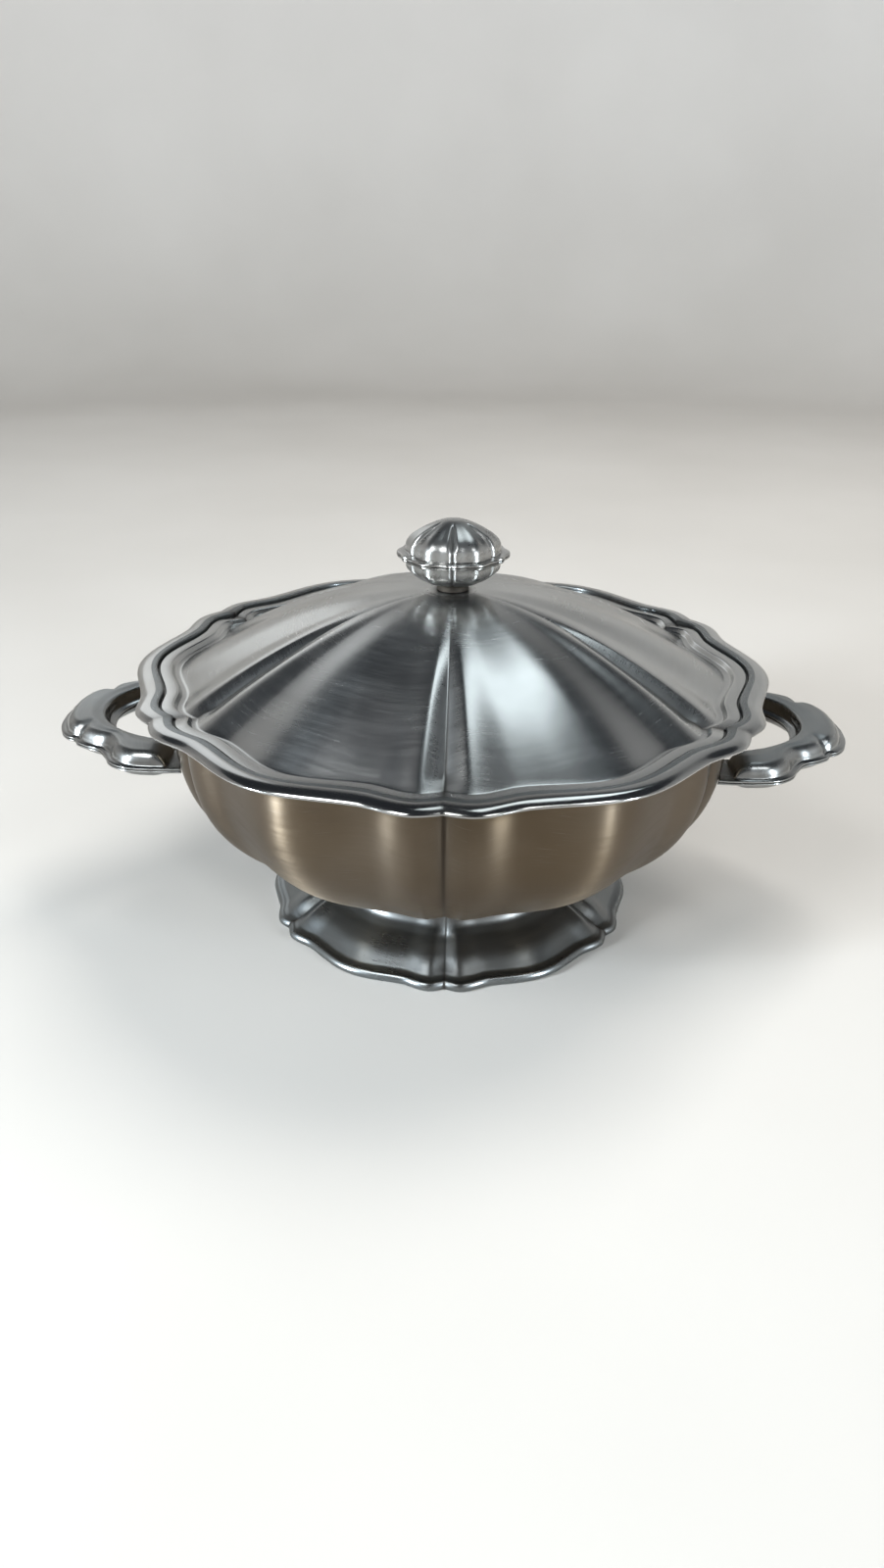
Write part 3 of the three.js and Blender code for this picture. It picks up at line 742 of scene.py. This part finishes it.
GROOVE_DEPTH = 2.4
GROOVE_RUN_IN = 0.8
GROOVE_SHARPNESS = 1.4
GROOVE_SHADE_AND_GRIME = 0.5
ARC_SHARE = 0.86
ROOT_LENGTH = 6


def loop_outer():
    """Points of the loop's outer edge, from the tip to the back root."""
    rows = curve([np.array([x, y, 0.0]) for x, y in LOOP_OUTER], 12)
    return np.array(rows)[:, :2]


def loop_inner(t):
    """Points of the finger hole's edge for t from 0, at the tip, to 1, at the root: a quarter of an
    ellipse and then a short straight run to the bowl."""
    turn = np.minimum(t / ARC_SHARE, 1) * np.pi / 2
    run = np.maximum(t - ARC_SHARE, 0) / (1 - ARC_SHARE)
    x = HOLE_CENTRE + HOLE_REACH * np.cos(turn) - ROOT_LENGTH * run
    return np.stack([x, HOLE_HALF * np.sin(turn)], axis=1)


def shell_section(rise):
    """Section across the loop, once round its sheet. Its rows hold the distance from the outer
    edge, the distance from the inner edge, the share between the two, the height of the flange
    sheet, the height of the hollow above it, and the polish."""
    rows = []

    def flat(outer, inner, share, height, polish):
        rows.append((outer, inner, share, height, 0, polish))

    def arch(start, reach, lift, floor, turns, share):
        for turn in np.radians(turns):
            across = start + reach - (reach - lift) * math.cos(turn)
            skin = (rise - lift) * math.sin(turn) - floor
            outer, inner = (0, across) if share else (across, 0)
            rows.append((outer, inner, share, floor, max(skin, 0), math.cos(turn) ** 0.5))

    def top(lift, floor, shares):
        outer = LOOP_FLANGE + LOOP_SHOULDER
        inner = LOOP_LEDGE + LOOP_LIP
        for share in shares:
            crown = LOOP_CROWN * math.sin(math.pi * share) ** 2
            rows.append((outer, inner, share, floor, rise - lift - floor + crown, 0))

    edge = 0.2
    up = np.linspace(10, 90, 12)
    down = np.linspace(90, 24, 9)
    flat(edge, 0, 0, 0, 1)
    flat(0, 0, 0, edge, 1)
    flat(0, 0, 0, LOOP_SHEET - edge, 1)
    flat(edge, 0, 0, LOOP_SHEET, 1)
    flat(LOOP_FLANGE - 0.5, 0, 0, LOOP_SHEET, 1)
    arch(LOOP_FLANGE, LOOP_SHOULDER, 0, LOOP_SHEET, up, 0)
    top(0, LOOP_SHEET, np.linspace(0, 1, 14)[1:-1])
    arch(LOOP_LEDGE, LOOP_LIP, 0, LOOP_SHEET, down, 1)
    flat(0, LOOP_LEDGE - 0.4, 1, LOOP_SHEET, 0.8)
    flat(0, edge, 1, LOOP_SHEET, 1)
    flat(0, 0.001, 1, LOOP_SHEET - edge, 1)
    flat(0, 0.001, 1, edge, 1)
    flat(0, edge, 1, 0, 1)
    flat(0, LOOP_LEDGE + LOOP_SHEET, 1, 0, 0)
    arch(LOOP_LEDGE, LOOP_LIP, LOOP_SHEET, 0, down[::-1], 1)
    top(LOOP_SHEET, 0, (0.85, 0.5, 0.15))
    arch(LOOP_FLANGE, LOOP_SHOULDER, LOOP_SHEET, 0, up[::-2], 0)
    flat(LOOP_FLANGE + LOOP_SHEET, 0, 0, 0, 0)
    return np.array(rows)


def wall_x(y, z):
    """X of the bowl's outer wall, beside the right handle, at a distance y off the axis."""
    drop = (BOWL_TOP - z) / (BOWL_TOP - BOWL_BOTTOM)
    valley = BOWL_RADIUS * (1 - drop ** BOWL_SIDE_POWER) ** (1 / BOWL_FLOOR_POWER)
    _, _, corner_push, lobe_push, notch_depth, *_ = wall_point(valley, z)
    x = np.sqrt(valley ** 2 - y ** 2)
    for _ in range(5):
        angle = np.degrees(np.arctan2(y, x)) - FIRST_FLUTE
        corner, lobe, notch = outline_shapes(angle)
        radius = valley + corner_push * corner + lobe_push * lobe - notch_depth * notch
        x = np.sqrt(radius ** 2 - y ** 2)
    return x


def groove_depth(x, y):
    """How much the groove between the tip and side lobes lowers the shell over a point."""
    run = GROOVE_END - GROOVE_START
    length = np.hypot(*run)
    across = np.abs((x - GROOVE_START[0]) * run[1] - (y - GROOVE_START[1]) * run[0]) / length
    along = ((x - GROOVE_START[0]) * run[0] + (y - GROOVE_START[1]) * run[1]) / length ** 2
    profile = np.exp(-(across / GROOVE_WIDTH) ** GROOVE_SHARPNESS)
    return GROOVE_DEPTH * ease(along / GROOVE_RUN_IN) * profile


def handle_shell(name, rise, seam, up_down, side):
    """One pressed shell: its section carried from the front root round to the back root."""
    outer = loop_outer()
    t = np.linspace(0, 1, len(outer))
    inner = loop_inner(t)
    width = np.hypot(*(outer - inner).T)[:, None]
    section = shell_section(rise)
    from_outer, from_inner, share, floor, skin, polish = section.T
    distance = (1 - share) * from_outer + share * (width - from_inner)
    point = outer[:, None] + (inner - outer)[:, None] * (distance / width)[..., None]
    x, y = point[..., 0], point[..., 1]
    reach = np.clip((x - LOOP_END) / LOOP_END_ROUND, 0, 1)
    fullness = np.sqrt(1 - (1 - reach) ** 2)
    groove = groove_depth(x, y) * np.clip(skin / rise, 0, 1)
    z = floor + np.maximum(skin * fullness - groove, 0)
    wall = wall_x(y, seam) + GAP
    root = x[-1]
    squeezed = LOOP_END - (LOOP_END - x) * (LOOP_END - wall) / (LOOP_END - root)
    x = np.where(x < LOOP_END, squeezed, x)
    half = np.stack([x, y, seam + up_down * z], axis=2)
    mirrored = half[:0:-1] * np.array([1, -1, 1])
    grid = np.concatenate([mirrored, half]) * np.array([side, side, 1])
    shine = np.repeat(polish[None], len(grid), axis=0)
    # Painted shade and grime darken the groove.
    grime = np.clip(groove / GROOVE_DEPTH, 0, 1) * GROOVE_SHADE_AND_GRIME
    grime = np.concatenate([grime[:0:-1], grime])
    return loft_mesh(name, grid, {"polish": shine, "crease_shade_and_grime": grime})


def loft_mesh(name, grid, fields):
    """Closed mesh of a grid of sections, with a flat face on each end."""
    count, points = grid.shape[:2]
    faces = []
    for i in range(count - 1):
        for j in range(points):
            k = (j + 1) % points
            near, far = i * points, (i + 1) * points
            faces.append((near + j, near + k, far + k, far + j))
    faces.append(tuple(range(points))[::-1])
    faces.append(tuple((count - 1) * points + j for j in range(points)))
    values = {field: value.reshape(-1) for field, value in fields.items()}
    return make_mesh(name, grid.reshape(-1, 3), faces, values)


# ---- Steel ----

class Graph:
    """A material's node tree, written as nested calls. An input is a value or a node's output."""

    def __init__(self, name):
        self.material = bpy.data.materials.new(name)
        self.material.use_nodes = True
        self.tree = self.material.node_tree
        self.tree.nodes.clear()

    def add(self, kind, inputs=None, **settings):
        node = self.tree.nodes.new(kind)
        for key, value in settings.items():
            setattr(node, key, value)
        self.feed(node, inputs or {})
        return node

    def feed(self, node, inputs):
        """Links each input that is given a socket, and sets each that is given a value."""
        for key, value in inputs.items():
            if isinstance(value, bpy.types.NodeSocket):
                self.tree.links.new(value, node.inputs[key])
            else:
                node.inputs[key].default_value = value

    def math(self, operation, first, second=0.0, clamp=False):
        inputs = {0: first, 1: second}
        return self.add("ShaderNodeMath", inputs, operation=operation, use_clamp=clamp).outputs[0]

    def noise(self, vector, scale, detail=3.0, roughness=0.5):
        inputs = {"Vector": vector, "Scale": scale, "Detail": detail, "Roughness": roughness}
        return self.add("ShaderNodeTexNoise", inputs).outputs["Fac"]

    def ramp(self, value, low, high, clamped=True):
        inputs = {"Value": value, "From Min": low, "From Max": high}
        return self.add("ShaderNodeMapRange", inputs, clamp=clamped).outputs["Result"]

    def blend(self, data_type, socket_type, share, first, second):
        """Mix node: it has sockets of every type under the same names, so they go by type too."""
        node = self.add("ShaderNodeMix", data_type=data_type)

        def index_of(sockets, name, kind):
            return next(i for i, s in enumerate(sockets) if s.name == name and s.type == kind)

        self.feed(node, {
            index_of(node.inputs, "Factor", "VALUE"): share,
            index_of(node.inputs, "A", socket_type): first,
            index_of(node.inputs, "B", socket_type): second,
        })
        return node.outputs[index_of(node.outputs, "Result", socket_type)]

    def mix(self, share, first, second):
        return self.blend("FLOAT", "VALUE", share, first, second)

    def mix_colour(self, share, first, second):
        return self.blend("RGBA", "RGBA", share, first, second)

    def field(self, name):
        return self.add("ShaderNodeAttribute", attribute_name=name).outputs["Fac"]


# What each steel mirrors is tinted by its own colour. The steels are lighter and darker copies of
# one steel, painted shade and painted reflection: the handles, the foot and the inside of the bowl
# are darkened, and the wall of the bowl is the warmest, dark brown, a painted reflection of brown
# wood that the studio lacks.
STEEL = (0.50, 0.50, 0.49, 1)
SHADED_HAND_STEEL = (0.36, 0.37, 0.37, 1)
SHADED_COOL_STEEL = (0.22, 0.235, 0.24, 1)
BROWN_REFLECTION_STEEL = (0.158, 0.126, 0.094, 1)
# Near-black steel for the knob's collar: painted shade under the knob.
PAINTED_SHADE_STEEL = (0.035, 0.033, 0.03, 1)
TARNISH = (0.11, 0.08, 0.05, 1)
# Colour of the painted shade and grime in creases.
SHADE_AND_GRIME_COLOUR = (0.05, 0.042, 0.035, 1)
SCUFF = (0.72, 0.70, 0.67, 1)

SMUDGE_SCALE = 28.0
CLOUD_SCALE = 13.0
PATCH_SCALE = 45.0
BUMP_DEPTH = 0.00003


def around(graph, place, streak, spacing, lean):
    """Noise drawn out round the object's axis, as spinning and polishing leave it. Its lines lie
    the spacing apart, in millimetres of radius plus the lean times the height, so a steep wall
    needs a lean. A higher streak makes them shorter."""
    x, y, z = graph.add("ShaderNodeSeparateXYZ", {0: place}).outputs
    square = graph.math("ADD", graph.math("MULTIPLY", x, x), graph.math("MULTIPLY", y, y))
    radius = graph.math("MAXIMUM", graph.math("SQRT", square), 1e-4)
    round_x = graph.math("MULTIPLY", graph.math("DIVIDE", x, radius), streak)
    round_y = graph.math("MULTIPLY", graph.math("DIVIDE", y, radius), streak)
    along_profile = graph.math("ADD", radius, graph.math("MULTIPLY", z, lean))
    across = graph.math("DIVIDE", along_profile, spacing * MM)
    lines = graph.add("ShaderNodeCombineXYZ", {0: round_x, 1: round_y, 2: across})
    return graph.noise(lines.outputs[0], 1.0, 4.0, 0.65)


def steel(name, colour, satin, polished, wear, brushing=0.1, anisotropy=0.0, stain=0.3, lean=0):
    """Worn stainless steel. Its roughness goes from satin to polished by the mesh's polish field,
    brushing spreads it in fine lines round the axis, wear adds short scuffs, and stain is how much
    tarnish lies on it in clouds. The mesh's creases are darkened and roughened: painted shade, with
    some grime. For the lean, see around()."""
    graph = Graph(name)
    place = graph.add("ShaderNodeTexCoord").outputs["Object"]
    polish = graph.field("polish")
    crease_shade_and_grime = graph.field("crease_shade_and_grime")
    smudge = graph.noise(place, SMUDGE_SCALE, 4.0, 0.6)
    cloud = graph.noise(place, CLOUD_SCALE, 3.0)
    fine_lines = around(graph, place, streak=5.0, spacing=0.7, lean=lean)
    broad_lines = around(graph, place, streak=1.6, spacing=3.2, lean=lean)
    lines = graph.mix(0.4, fine_lines, broad_lines)
    short_lines = around(graph, place, streak=9.0, spacing=0.4, lean=lean)
    scuffs = graph.ramp(short_lines, 0.6, 0.72)
    patches = graph.ramp(graph.noise(place, PATCH_SCALE, 2.0), 0.5, 0.65)
    marks = graph.math("MULTIPLY", graph.math("MULTIPLY", scuffs, patches), wear)

    roughness = graph.mix(polish, satin, polished)
    for uneven, amount in ((lines, brushing), (smudge, 0.18)):
        spread = graph.math("MULTIPLY", graph.math("SUBTRACT", uneven, 0.5), amount)
        roughness = graph.math("ADD", roughness, spread)
    for rougher, amount in ((marks, 0.15), (crease_shade_and_grime, 0.1)):
        extra = graph.math("MULTIPLY", rougher, amount)
        roughness = graph.math("ADD", roughness, extra, clamp=True)

    tarnish = graph.math("MULTIPLY", graph.ramp(cloud, 0.4, 0.65), stain)
    in_lines = (*(0.9 * channel for channel in colour[:3]), 1)
    brushed = graph.mix_colour(graph.ramp(lines, 0.35, 0.65), in_lines, colour)
    dulled = graph.mix_colour(tarnish, brushed, TARNISH)
    scuffed = graph.mix_colour(graph.math("MULTIPLY", marks, 0.2), dulled, SCUFF)
    # Painted shade and grime: the creases darken, unevenly, towards a near-black brown.
    grime = graph.math("MULTIPLY", graph.math("POWER", crease_shade_and_grime, 3.0), graph.ramp(smudge, 0.2, 0.5))
    painted = graph.mix_colour(graph.math("MULTIPLY", grime, 0.85), scuffed, SHADE_AND_GRIME_COLOUR)

    raised = graph.math("MULTIPLY", lines, 0.5)
    relief = graph.math("SUBTRACT", raised, graph.math("MULTIPLY", marks, 0.3))
    bump = graph.add("ShaderNodeBump", {"Strength": 0.15, "Distance": BUMP_DEPTH, "Height": relief})
    shader = graph.add("ShaderNodeBsdfPrincipled", {
        "Base Color": painted, "Metallic": 1.0, "Roughness": roughness, "Normal": bump.outputs[0],
    })
    shader.inputs["Anisotropic"].default_value = anisotropy
    shader.inputs["Anisotropic Rotation"].default_value = 0.25
    if anisotropy:
        tangent = graph.add("ShaderNodeTangent", direction_type="RADIAL", axis="Z")
        graph.tree.links.new(tangent.outputs[0], shader.inputs["Tangent"])
    graph.add("ShaderNodeOutputMaterial", {"Surface": shader.outputs[0]})
    return graph.material


# ---- Building the object ----

bowl_steel = steel(
    "bowl_steel", BROWN_REFLECTION_STEEL, satin=0.35, polished=0.3, wear=0.5,
    brushing=0.3, anisotropy=0.95, stain=0.85, lean=1)
inside_steel = steel(
    "inside_steel", SHADED_COOL_STEEL, satin=0.3, polished=0.2, wear=0.25,
    brushing=0.25, anisotropy=0.7, stain=0.2)
lid_steel = steel(
    "lid_steel", STEEL, satin=0.25, polished=0.16, wear=0.12,
    brushing=0.15, anisotropy=0.7, stain=0.15)
lip_steel = steel("lip_steel", STEEL, satin=0.24, polished=0.14, wear=0.5)
foot_steel = steel("foot_steel", SHADED_COOL_STEEL, satin=0.3, polished=0.24, wear=0.1)
hand_steel = steel("hand_polished_steel", SHADED_HAND_STEEL, satin=0.42, polished=0.2, wear=0.3)
knob_steel = steel("knob_steel", STEEL, satin=0.28, polished=0.18, wear=0.3)
collar_shade_steel = steel("collar_shade_steel", PAINTED_SHADE_STEEL, satin=0.6, polished=0.5, wear=0.2)
hardware_steel = steel("hardware_steel", STEEL, satin=0.3, polished=0.2, wear=0.5)

bowl_piece = finish_piece(bowl(), "bowl", "tureen", bowl_steel)
finish_bowl(bowl_piece, lip_steel, inside_steel)
finish_piece(foot(), "foot", "tureen", foot_steel)
finish_piece(lid(), "lid", "lid", lid_steel)
finish_piece(knob_upper(), "knob_upper_shell", "lid", knob_steel)
finish_piece(knob_lower(), "knob_lower_shell", "lid", knob_steel)
finish_piece(knob_collar(), "knob_collar", "lid", collar_shade_steel)
finish_piece(knob_washer(), "knob_washer", "lid", hardware_steel)
finish_piece(knob_screw(), "knob_screw", "lid", hardware_steel)
finish_piece(knob_nut(), "knob_nut", "lid", hardware_steel)

for side, sign in (("right", 1), ("left", -1)):
    upper = handle_shell(f"handle_{side}_upper_fine", LOOP_RISE, LOOP_SEAM, 1, sign)
    lower = handle_shell(f"handle_{side}_lower_fine", CUP_DEPTH, CUP_SEAM, -1, sign)
    finish_piece(upper, f"handle_{side}_upper_shell", "tureen", hand_steel)
    finish_piece(lower, f"handle_{side}_lower_shell", "tureen", hand_steel)


# ---- Studio ----

FLOOR_DARK = (0.42, 0.395, 0.365, 1)
FLOOR_PALE = (0.46, 0.435, 0.405, 1)
BACKDROP_GLOW = (0.95, 0.97, 1.0, 1)


def studio_floor():
    """Pale floor that curves up into a softly glowing backdrop all round."""
    flat, bend, top, thick = 1500.0, 500.0, 1700.0, 20
    wall = flat + bend
    turns = np.radians(np.linspace(0, 90, 12))
    path = [at(0, 0), at(flat, 0)]
    path += [at(flat + bend * math.sin(t), bend * (1 - math.cos(t))) for t in turns[1:]]
    path += [at(wall, top), at(wall + thick, top), at(wall + thick, -thick), at(0, -thick)]
    floor = turned("studio_floor", path, 128)
    graph = Graph("studio_floor")
    place = graph.add("ShaderNodeTexCoord").outputs["Object"]
    mottle = graph.ramp(graph.noise(place, 3.0, 3.0), 0.3, 0.7)
    colour = graph.mix_colour(mottle, FLOOR_DARK, FLOOR_PALE)
    height = graph.add("ShaderNodeSeparateXYZ", {0: place}).outputs["Z"]
    shader = graph.add("ShaderNodeBsdfPrincipled", {
        "Base Color": colour, "Roughness": 0.75, "Emission Color": BACKDROP_GLOW,
        "Emission Strength": graph.math("MULTIPLY", graph.ramp(height, 0.0, 0.7), 0.2),
    })
    graph.add("ShaderNodeOutputMaterial", {"Surface": shader.outputs[0]})
    floor.data.materials.append(graph.material)


def soft_box(name, direction, distance, size, power, colour, mirrored=True):
    """Area light that looks at the middle of the object from a direction and distance, in metres
    and watts. One that isn't mirrored lights the floor, but doesn't show in the steel."""
    light = bpy.data.lights.new(name, "AREA")
    light.shape = "RECTANGLE"
    light.size, light.size_y = size
    light.energy = power
    light.color = colour
    lamp = bpy.data.objects.new(name, light)
    towards = Vector(direction).normalized()
    lamp.location = Vector((0, 0, 0.1)) + towards * distance
    lamp.rotation_euler = towards.to_track_quat("Z", "Y").to_euler()
    lamp.visible_glossy = mirrored
    bpy.context.scene.collection.objects.link(lamp)


def studio_world():
    """Dim room above the backdrop."""
    world = bpy.data.worlds.new("studio")
    world.use_nodes = True
    background = world.node_tree.nodes["Background"]
    background.inputs["Color"].default_value = (0.75, 0.85, 1.0, 1)
    background.inputs["Strength"].default_value = 0.045
    bpy.context.scene.world = world


def camera():
    """Stands in front, a little right of the middle, and looks down at the lid. Its pitch is
    downwards, its heading is left of straight ahead, and it leans over by the roll."""
    pitch = math.radians(27.27)
    heading = math.radians(1.46)
    roll = 0.00966
    forward = Vector((
        -math.sin(heading) * math.cos(pitch), math.cos(heading) * math.cos(pitch), -math.sin(pitch),
    ))
    level = Vector((math.cos(heading), math.sin(heading), 0))
    above = level.cross(forward)
    across = level * math.cos(roll) + above * math.sin(roll)
    up = above * math.cos(roll) - level * math.sin(roll)
    data = bpy.data.cameras.new("camera")
    data.sensor_width = 36
    data.lens = 25.58
    data.clip_start = 0.01
    eye = bpy.data.objects.new("camera", data)
    eye.matrix_world = Matrix((across, up, -forward)).transposed().to_4x4()
    eye.location = (0.0074, -0.4299, 0.2732)
    bpy.context.scene.collection.objects.link(eye)
    bpy.context.scene.camera = eye


studio_floor()
studio_world()
# Each soft box: name, direction, distance, width and height, power and colour.
soft_box("floor_fill", (0.3, 0.3, 0.9), 1.6, (0.9, 0.9), 24, (1.0, 0.98, 0.95), mirrored=False)
soft_box("window", (0.19, 0.36, 0.91), 1.5, (0.38, 0.8), 2.6, (0.84, 0.95, 1.0))
soft_box("front_left", (-0.40, -0.48, 0.75), 1.4, (0.45, 0.45), 6.5, (0.94, 0.98, 1.0))
soft_box("front_right", (0.45, -0.48, 0.75), 1.4, (0.3, 0.3), 1.8, (0.94, 0.98, 1.0))
soft_box("back_left", (-0.44, 0.76, 0.47), 1.5, (0.5, 0.6), 0.8, (0.92, 0.97, 1.0))
soft_box("left_strip", (-0.85, -0.5, 0.25), 1.3, (0.14, 0.6), 40, (0.80, 0.91, 1.0))
soft_box("right_strip", (0.80, -0.6, 0.25), 1.3, (0.10, 0.6), 18, (0.80, 0.91, 1.0))
camera()
bpy.context.scene.view_settings.view_transform = "Standard"
